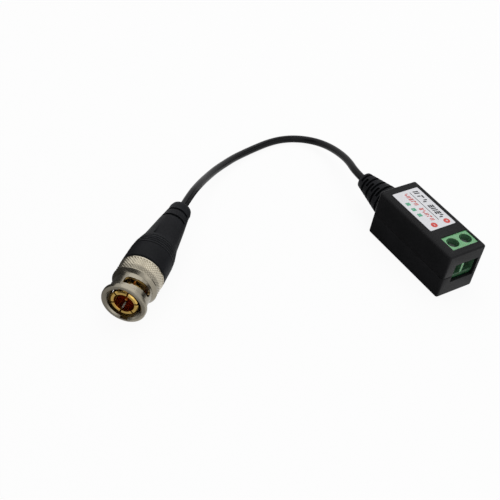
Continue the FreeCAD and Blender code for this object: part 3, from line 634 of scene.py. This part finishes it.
# The rows of print, in millimetres: each one's ink, low and high edge, width of a cell and lean, then its
# groups of bars, each with its left end
LABEL_ROWS = (
    ("print_dark_row", ink_dark, 2.2, 4.0, 1.15, 0.2,
     (("pair", -12.0), ("corner", -9.8), ("step", -7.8), ("three", -5.0), ("pair", -3.5), ("three", -1.9),
      ("step", -0.3))),
    ("print_red_row", ink_red, -1.35, 0.0, 0.78, 0.18,
     (("step", -12.1), ("pair", -10.9), ("three", -9.7), ("corner", -8.5), ("pair", -7.3), ("three", -4.9),
      ("step", -3.65), ("pair", -2.4), ("corner", -1.15), ("pair", 0.1))),
    ("print_green_row", ink_green, -3.7, -2.45, 1.2, 0.12,
     (("bricks", -8.4), ("bricks", -5.75), ("bricks", -3.0))),
)


def ink_group(group, left, width, low, high, slant, base_z):
    """One group of bars in its cell; each bar is shifted as the row's lean asks."""
    made = []
    for u0, u1, v0, v1 in BAR_GROUPS[group]:
        y0, y1 = low + v0 * (high - low), low + v1 * (high - low)
        lean = slant * (y0 - low)
        x0, x1 = left + u0 * width + lean, left + u1 * width + lean
        made.append(ink_block(x0, x1, y0, y1, slant, base_z))
    return made


def ink_disc(x, y, radius, base_z):
    """A round spot of ink with a narrow flat border along its rim."""
    height = bpy.context.scene.balun_case.ink_thickness
    bpy.ops.object.select_all(action="DESELECT")
    bpy.ops.mesh.primitive_cylinder_add(vertices=48, radius=radius * MM, depth=height,
                                        location=(x * MM, y * MM, base_z + height / 2))
    disc = bpy.context.object
    bpy.ops.object.transform_apply(location=True, rotation=True, scale=True)
    bpy.ops.object.mode_set(mode="EDIT")
    faces_where(disc, lambda at, normal: normal.z > 0.9)
    bpy.ops.mesh.inset(thickness=DISC_BORDER * MM, depth=0)
    bpy.ops.object.mode_set(mode="OBJECT")
    return disc


def joined(parts, name):
    """Join parts into one piece."""
    bpy.ops.object.select_all(action="DESELECT")
    for part in parts:
        part.select_set(True)
    bpy.context.view_layer.objects.active = parts[0]
    bpy.ops.object.join()
    parts[0].name = parts[0].data.name = name
    return parts[0]


class BALUN_OT_case(bpy.types.Operator):
    """Finish the two halves of the case and the label"""
    bl_idname = "balun.case"
    bl_label = "Case and label"

    def execute(self, context):
        edge = context.scene.balun_case.edge
        finished("case_base", "case_base_moulding", edge)
        finished("case_top", "case_top_moulding", edge)
        finished("polarity_label", "polarity_label_sticker")
        return {"FINISHED"}


class BALUN_OT_label_print(bpy.types.Operator):
    """Print the label's rows of plain blocks and its two polarity discs"""
    bl_idname = "balun.label_print"
    bl_label = "Label print"

    def execute(self, context):
        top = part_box("polarity_label")[1][2]
        on_ink = top + context.scene.balun_case.ink_thickness / 2
        for name, make, low, high, width, slant, groups in LABEL_ROWS:
            bars = []
            for group, left in groups:
                bars += ink_group(group, left, width, low, high, slant, top)
            dress(joined(bars, name), make, "balun")
        rule = joined([ink_block(*RULE, 0.0, top)], "print_rule")
        dress(rule, ink_dark, "balun")
        discs = [ink_disc(DISC_ALONG, y, DISC_RADIUS, top) for y in DISCS_ACROSS]
        dress(joined(discs, "print_polarity_discs"), ink_red, "balun")
        signs = [ink_block(DISC_ALONG - SIGN_ARM, DISC_ALONG + SIGN_ARM, y - SIGN_STROKE, y + SIGN_STROKE,
                           0.0, on_ink) for y in DISCS_ACROSS]
        plus_at = DISCS_ACROSS[0]
        signs.append(ink_block(DISC_ALONG - SIGN_STROKE, DISC_ALONG + SIGN_STROKE, plus_at - SIGN_ARM,
                               plus_at + SIGN_ARM, 0.0, on_ink))
        dress(joined(signs, "print_polarity_signs"), vinyl_printed, "balun")
        return {"FINISHED"}


class BALUN_OT_terminals(bpy.types.Operator):
    """Finish the terminal block with its screws, cages and contacts"""
    bl_idname = "balun.terminals"
    bl_label = "Terminal block"

    def execute(self, context):
        finished("terminal_housing", "terminal_housing_moulding", BLOCK_EDGE)
        for side in ("minus", "plus"):
            finished("terminal_screw_" + side, "screw_" + side + "_turned")
            finished("wire_clamp_" + side, "cage_" + side + "_pressed", CAGE_EDGE)
            finished("contact_pin_" + side, "contact_" + side + "_stamped", CONTACT_EDGE)
        return {"FINISHED"}


class BALUN_OT_board(bpy.types.Operator):
    """Paint the circuit board and what it carries"""
    bl_idname = "balun.board"
    bl_label = "Circuit board"

    def execute(self, context):
        for node in ("circuit_board", "balun_core", "balun_winding", "chip_capacitor", "chip_resistor",
                     "cable_core_lead", "cable_braid_lead"):
            paint(node)
        return {"FINISHED"}


class BALUN_OT_plug(bpy.types.Operator):
    """Finish the plug's turned pieces, contacts and boot"""
    bl_idname = "balun.plug"
    bl_label = "Bayonet plug"

    def execute(self, context):
        for node in ("coupling_sleeve", "contact_fingers", "plug_body", "centre_pin", "plug_insulator",
                     "sealing_gasket", "retaining_ring", "thrust_washer", "crimp_ferrule"):
            finished(node, node + "_turned")
        finished("plug_boot", "plug_boot_moulding", smooth_angle=SMOOTH_RUBBER)
        for node in ("wave_washer", "cable_braid"):
            paint(node)
        return {"FINISHED"}


class BALUN_OT_cable(bpy.types.Operator):
    """Lay the cable from the strain relief to the boot"""
    bl_idname = "balun.cable"
    bl_label = "Cable"

    def execute(self, context):
        settings = context.scene.balun_cable
        finished("strain_relief", "strain_relief_moulding", smooth_angle=SMOOTH_RUBBER)
        curve = bpy.data.curves.new("coax_sheath", "CURVE")
        curve.dimensions = "3D"
        curve.resolution_u = settings.resolution
        curve.bevel_depth = settings.diameter / 2
        curve.bevel_resolution = 8
        curve.use_fill_caps = True
        spline = curve.splines.new("NURBS")
        spline.points.add(len(CABLE_ROUTE) - 1)
        for point, place in zip(spline.points, CABLE_ROUTE):
            point.co = (*(Vector(place) * MM), 1)
        spline.order_u = 3
        spline.use_endpoint_u = True
        sheath = bpy.data.objects.new("coax_sheath", curve)
        context.scene.collection.objects.link(sheath)
        dress(sheath, pvc_extruded, "balun")
        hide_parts("coax_cable")
        return {"FINISHED"}


# Stage

def card(name, middle, target, width, height):
    """A flat stage card that faces a point."""
    bpy.ops.object.select_all(action="DESELECT")
    bpy.ops.mesh.primitive_plane_add(size=1)
    made = bpy.context.object
    made.name = name
    made.scale = (width, height, 1)
    made.location = middle
    made.rotation_euler = (Vector(target) - Vector(middle)).to_track_quat("Z", "Y").to_euler()
    bpy.ops.object.transform_apply(location=True, rotation=True, scale=True)
    return made


def flag(name, middle, target, width, height, glow):
    """A dim card that only mirror-like surfaces see, for the dark reflections of a studio."""
    made = card(name, middle, target, width, height)
    made.visible_camera = made.visible_diffuse = made.visible_shadow = False
    dim = bpy.data.materials.new(name)
    dim.use_nodes = True
    tree = dim.node_tree
    tree.nodes.clear()
    shine = add(tree, "ShaderNodeEmission", {"Color": (1, 1, 1, 1), "Strength": glow})
    add(tree, "ShaderNodeOutputMaterial", {"Surface": shine})
    made.data.materials.append(dim)


def lamp(name, middle, target, size, power):
    """A square soft light that faces a point."""
    light = bpy.data.lights.new(name, "AREA")
    light.shape, light.size, light.energy = "SQUARE", size, power
    made = bpy.data.objects.new(name, light)
    made.location = middle
    made.rotation_euler = (Vector(target) - Vector(middle)).to_track_quat("-Z", "Y").to_euler()
    bpy.context.scene.collection.objects.link(made)


def seen(tree):
    """One where a ray comes from the camera, a mirror or glass, and nothing elsewhere."""
    path = add(tree, "ShaderNodeLightPath")
    first = add(tree, "ShaderNodeMath", {0: path.outputs["Is Camera Ray"], 1: path.outputs["Is Glossy Ray"]},
                operation="MAXIMUM")
    return add(tree, "ShaderNodeMath", {0: first, 1: path.outputs["Is Transmission Ray"]},
               operation="MAXIMUM")


class BALUN_OT_stage(bpy.types.Operator):
    """Set the floor, the lights, the room and the camera"""
    bl_idname = "balun.stage"
    bl_label = "Stage"

    def execute(self, context):
        scene, settings = context.scene, context.scene.balun_stage
        down = Vector((0, 0, FLOOR_BELOW))

        floor = card("floor", STAGE_MIDDLE - down, STAGE_MIDDLE, FLOOR_SIZE, FLOOR_SIZE)
        paper = bpy.data.materials.new("paper_sweep")
        paper.use_nodes = True
        tree = paper.node_tree
        tree.nodes.clear()
        matte = add(tree, "ShaderNodeBsdfDiffuse", {"Color": (*settings.floor, 1)})
        glow = add(tree, "ShaderNodeEmission", {"Color": (1, 1, 1, 1), "Strength": 1.0})
        # no glow close under the plug, where its own shadow lies
        place = add(tree, "ShaderNodeTexCoord").outputs["Object"]
        spot = add(tree, "ShaderNodeMapping", {"Vector": place, "Location": SPOT_MIDDLE,
                                               "Rotation": (0, 0, PLUG_HEADING), "Scale": SPOT_HALF},
                   vector_type="TEXTURE")
        away = add(tree, "ShaderNodeVectorMath", {0: spot}, operation="LENGTH").outputs["Value"]
        clear = add(tree, "ShaderNodeMapRange", {"Value": away, "From Min": 0.8, "From Max": 1.1,
                                                 "To Max": FLOOR_GLOW})
        share = add(tree, "ShaderNodeMath", {0: seen(tree), 1: clear}, operation="MULTIPLY")
        mixed = add(tree, "ShaderNodeMixShader", {0: share, 1: matte, 2: glow})
        add(tree, "ShaderNodeOutputMaterial", {"Surface": mixed})
        floor.data.materials.append(paper)

        world = bpy.data.worlds.new("studio")
        world.use_nodes = True
        tree = world.node_tree
        tree.nodes.clear()
        room = add(tree, "ShaderNodeBackground", {"Color": (1, 1, 1, 1), "Strength": settings.world_light})
        white = add(tree, "ShaderNodeBackground", {"Color": (1, 1, 1, 1), "Strength": 1.0})
        both = add(tree, "ShaderNodeMixShader", {0: seen(tree), 1: room, 2: white})
        add(tree, "ShaderNodeOutputWorld", {"Surface": both})
        scene.world = world

        for dim_card in DIM_CARDS:
            flag(*dim_card)

        # each lamp has a dim card behind it, because a mirror-like surface sees the white room through it
        for (name, at, size), power in zip(LAMPS, (settings.key_power, settings.fill_power)):
            lamp(name, at, STAGE_MIDDLE, size, power)
            behind = at + (at - STAGE_MIDDLE).normalized() * CARD_BEHIND_LAMP
            flag(name + "_back", behind, STAGE_MIDDLE, size, size, DIM_GLOW)

        camera = bpy.data.cameras.new("camera")
        camera.lens, camera.sensor_width = LENS, SENSOR
        made = bpy.data.objects.new("camera", camera)
        made.matrix_world = Matrix.Translation(CAMERA_PLACE) @ CAMERA_AXES.transposed().to_4x4()
        scene.collection.objects.link(made)
        scene.camera = made

        scene.view_settings.view_transform = "Standard"
        return {"FINISHED"}


class BALUN_PT_panel(bpy.types.Panel):
    """Sizes, colours and steps of the balun"""
    bl_idname = "BALUN_PT_panel"
    bl_label = "Video balun"
    bl_space_type = "VIEW_3D"
    bl_region_type = "UI"
    bl_category = "Balun"

    def draw(self, context):
        for heading, settings, steps in (
                ("Case", context.scene.balun_case, (BALUN_OT_case, BALUN_OT_label_print)),
                ("Terminals", context.scene.balun_terminals, (BALUN_OT_terminals, BALUN_OT_board)),
                ("Plug", context.scene.balun_plug, (BALUN_OT_plug,)),
                ("Cable", context.scene.balun_cable, (BALUN_OT_cable,)),
                ("Stage", context.scene.balun_stage, (BALUN_OT_stage,))):
            box = self.layout.box()
            box.label(text=heading)
            for name in settings.__annotations__:
                box.prop(settings, name)
            for step in steps:
                box.operator(step.bl_idname)


SETTINGS = (("balun_case", CaseSettings), ("balun_terminals", TerminalSettings),
            ("balun_plug", PlugSettings), ("balun_cable", CableSettings), ("balun_stage", StageSettings))
STEPS = (BALUN_OT_stage, BALUN_OT_case, BALUN_OT_label_print, BALUN_OT_terminals, BALUN_OT_board,
         BALUN_OT_plug, BALUN_OT_cable)


def register():
    for name, group in SETTINGS:
        bpy.utils.register_class(group)
        setattr(bpy.types.Scene, name, PointerProperty(type=group))
    for step in STEPS:
        bpy.utils.register_class(step)
    bpy.utils.register_class(BALUN_PT_panel)


def unregister():
    bpy.utils.unregister_class(BALUN_PT_panel)
    for step in reversed(STEPS):
        bpy.utils.unregister_class(step)
    for name, group in reversed(SETTINGS):
        delattr(bpy.types.Scene, name)
        bpy.utils.unregister_class(group)


def main():
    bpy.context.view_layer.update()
    register()
    for step in (bpy.ops.balun.stage, bpy.ops.balun.case, bpy.ops.balun.label_print, bpy.ops.balun.terminals,
                 bpy.ops.balun.board, bpy.ops.balun.plug, bpy.ops.balun.cable):
        step()


if __name__ == "__main__":
    main()
